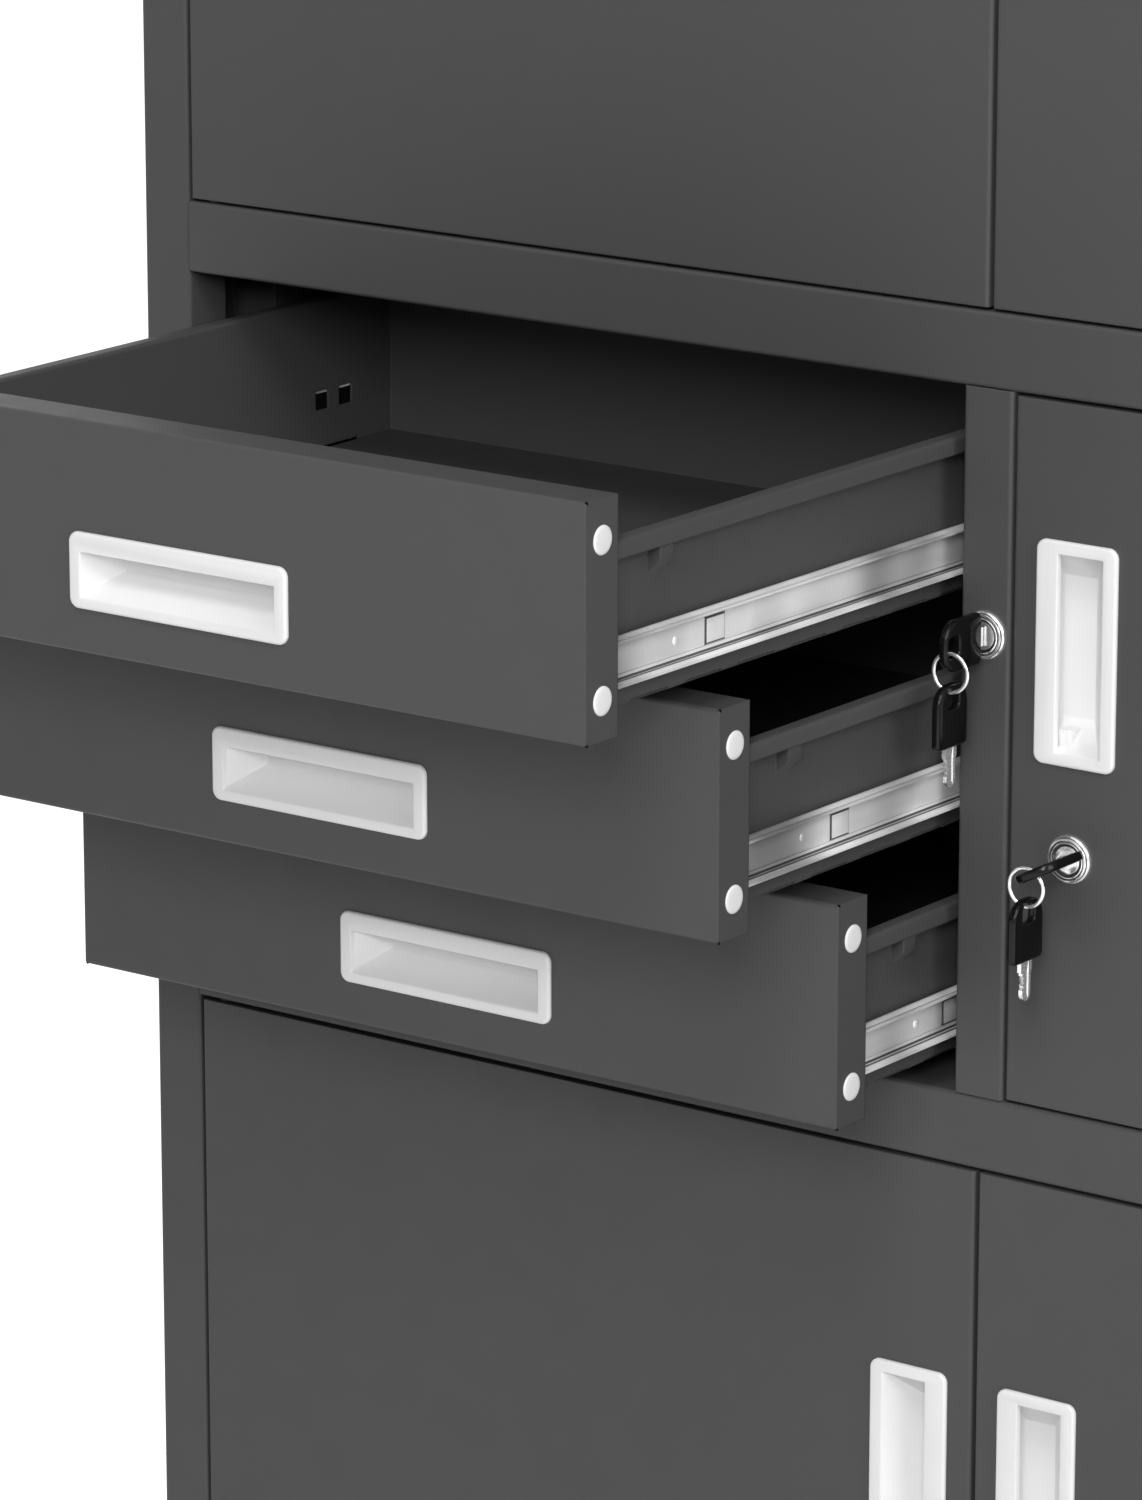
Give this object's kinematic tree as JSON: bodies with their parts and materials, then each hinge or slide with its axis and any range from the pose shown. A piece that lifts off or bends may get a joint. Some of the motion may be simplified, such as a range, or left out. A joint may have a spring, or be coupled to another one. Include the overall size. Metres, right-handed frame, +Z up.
{
  "type": "filing cabinet",
  "caption": "Tall steel office cabinet with hinged cupboard doors above and below, ball-slide drawers with a gang lock and a small lockable safe door between them.",
  "frame": {"origin": "on the floor at mid width, in the middle of the foot flange under the front of the base", "axes": "+X to the cabinet's right as seen from the front, +Y to the back, +Z up"},
  "size_m": [0.9, 0.659, 1.85],
  "materials": {
    "paint": "dark grey powder coat, fine texture, satin",
    "white_plastic": "moulded, semi gloss",
    "zinc": "bright zinc plated",
    "cage_steel": "rolled steel",
    "lock_chrome": "polished",
    "key_plastic": "moulded black",
    "key_metal": "nickel plated"
  },
  "bodies": {
    "carcass": {"side_left": "paint", "side_right": "paint", "back_panel": "paint", "top_panel": "paint", "bottom_panel": "paint", "lower_divider": "paint", "upper_divider": "paint", "centre_post": "paint", "slide_uprights": "paint", "upper_shelf": "paint", "lower_shelf": "paint", "shelf_clips": "zinc", "slide_outer_members": "zinc", "hinge_pins": "zinc", "post_lock_housing": "lock_chrome"},
    "lock_bar": {"lock_bar": "zinc"},
    "drawer_1": {"drawer_1_front": "paint", "drawer_1_tray": "paint", "drawer_1_handle": "white_plastic", "drawer_1_caps": "white_plastic", "drawer_1_slide_members": "zinc"},
    "cages_1": {"drawer_1_ball_cages": "cage_steel"},
    "drawer_2": {"drawer_2_front": "paint", "drawer_2_tray": "paint", "drawer_2_handle": "white_plastic", "drawer_2_caps": "white_plastic", "drawer_2_slide_members": "zinc"},
    "cages_2": {"drawer_2_ball_cages": "cage_steel"},
    "drawer_3": {"drawer_3_front": "paint", "drawer_3_tray": "paint", "drawer_3_handle": "white_plastic", "drawer_3_caps": "white_plastic", "drawer_3_slide_members": "zinc"},
    "cages_3": {"drawer_3_ball_cages": "cage_steel"},
    "door_upper_left": {"door_upper_left": "paint", "handle_upper_left": "white_plastic"},
    "door_upper_right": {"door_upper_right": "paint", "handle_upper_right": "white_plastic"},
    "door_lower_left": {"door_lower_left": "paint", "handle_lower_left": "white_plastic"},
    "door_lower_right": {"door_lower_right": "paint", "handle_lower_right": "white_plastic"},
    "door_safe": {"door_safe": "paint", "handle_safe": "white_plastic", "safe_lock_housing": "lock_chrome"},
    "post_key": {"post_lock_plug": "lock_chrome", "post_lock_cam": "lock_chrome", "post_key_head": "key_plastic", "post_key_blade": "key_metal"},
    "post_ring": {"post_key_ring": "key_metal"},
    "post_spare": {"post_spare_head": "key_plastic", "post_spare_blade": "key_metal"},
    "safe_key": {"safe_lock_plug": "lock_chrome", "safe_lock_cam": "lock_chrome", "safe_key_head": "key_plastic", "safe_key_blade": "key_metal"},
    "safe_ring": {"safe_key_ring": "key_metal"},
    "safe_spare": {"safe_spare_head": "key_plastic", "safe_spare_blade": "key_metal"}
  },
  "joints": [
    {"name": "drawer_1_slide", "type": "slide", "parent": "carcass", "child": "drawer_1", "axis": [0, -1, 0], "range_m": [-0.257, 0.008]},
    {"name": "cages_1_run", "type": "slide", "parent": "carcass", "child": "cages_1", "axis": [0, -1, 0], "range_m": [-0.129, 0.0045]},
    {"name": "drawer_2_slide", "type": "slide", "parent": "carcass", "child": "drawer_2", "axis": [0, -1, 0], "range_m": [-0.168, 0.097]},
    {"name": "cages_2_run", "type": "slide", "parent": "carcass", "child": "cages_2", "axis": [0, -1, 0], "range_m": [-0.0845, 0.049]},
    {"name": "drawer_3_slide", "type": "slide", "parent": "carcass", "child": "drawer_3", "axis": [0, -1, 0], "range_m": [-0.083, 0.182]},
    {"name": "cages_3_run", "type": "slide", "parent": "carcass", "child": "cages_3", "axis": [0, -1, 0], "range_m": [-0.042, 0.0915]},
    {"name": "door_upper_left_hinge", "type": "hinge", "parent": "carcass", "child": "door_upper_left", "pos_m": [-0.413, -0.0045, 1.4215], "axis": [0, 0, -1], "range_deg": [0, 110]},
    {"name": "door_upper_right_hinge", "type": "hinge", "parent": "carcass", "child": "door_upper_right", "pos_m": [0.413, -0.0045, 1.4215], "axis": [0, 0, 1], "range_deg": [0, 110]},
    {"name": "door_lower_left_hinge", "type": "hinge", "parent": "carcass", "child": "door_lower_left", "pos_m": [-0.413, -0.0045, 0.35], "axis": [0, 0, -1], "range_deg": [0, 110]},
    {"name": "door_lower_right_hinge", "type": "hinge", "parent": "carcass", "child": "door_lower_right", "pos_m": [0.413, -0.0045, 0.35], "axis": [0, 0, 1], "range_deg": [0, 110]},
    {"name": "door_safe_hinge", "type": "hinge", "parent": "carcass", "child": "door_safe", "pos_m": [0.413, -0.0045, 0.834], "axis": [0, 0, 1], "range_deg": [0, 110]},
    {"name": "post_lock_turn", "type": "hinge", "parent": "carcass", "child": "post_key", "pos_m": [0, -0.01, 0.8821], "axis": [0, -1, 0], "range_deg": [-1, 91]},
    {"name": "lock_bar_lift", "type": "slide", "parent": "carcass", "child": "lock_bar", "axis": [0, 0, 1], "range_m": [0, 0.00877]},
    {"name": "safe_lock_turn", "type": "hinge", "parent": "door_safe", "child": "safe_key", "pos_m": [0.0436, -0.01, 0.7931], "axis": [0, -1, 0], "range_deg": [-27, 63]},
    {"name": "post_ring_swing", "type": "hinge", "parent": "post_key", "child": "post_ring", "pos_m": [0, -0.0356, 0.8792], "axis": [1, 0, 0], "range_deg": [-50, 15]},
    {"name": "post_spare_swing", "type": "hinge", "parent": "post_ring", "child": "post_spare", "pos_m": [0, -0.0356, 0.8628], "axis": [1, 0, 0], "range_deg": [-40, 8]},
    {"name": "safe_ring_swing", "type": "hinge", "parent": "safe_key", "child": "safe_ring", "pos_m": [0.03868, -0.0356, 0.79414], "axis": [1, 0, 0], "range_deg": [-50, 15]},
    {"name": "safe_spare_swing", "type": "hinge", "parent": "safe_ring", "child": "safe_spare", "pos_m": [0.03868, -0.0356, 0.77774], "axis": [1, 0, 0], "range_deg": [-40, 8]}
  ],
  "couplings": [
    {"joint": "cages_1_run", "follows": "drawer_1_slide", "ratio": 0.5},
    {"joint": "cages_2_run", "follows": "drawer_2_slide", "ratio": 0.5},
    {"joint": "cages_3_run", "follows": "drawer_3_slide", "ratio": 0.5},
    {"joint": "post_lock_turn", "follows": "lock_bar_lift", "rad_per_m": 179.15}
  ]
}
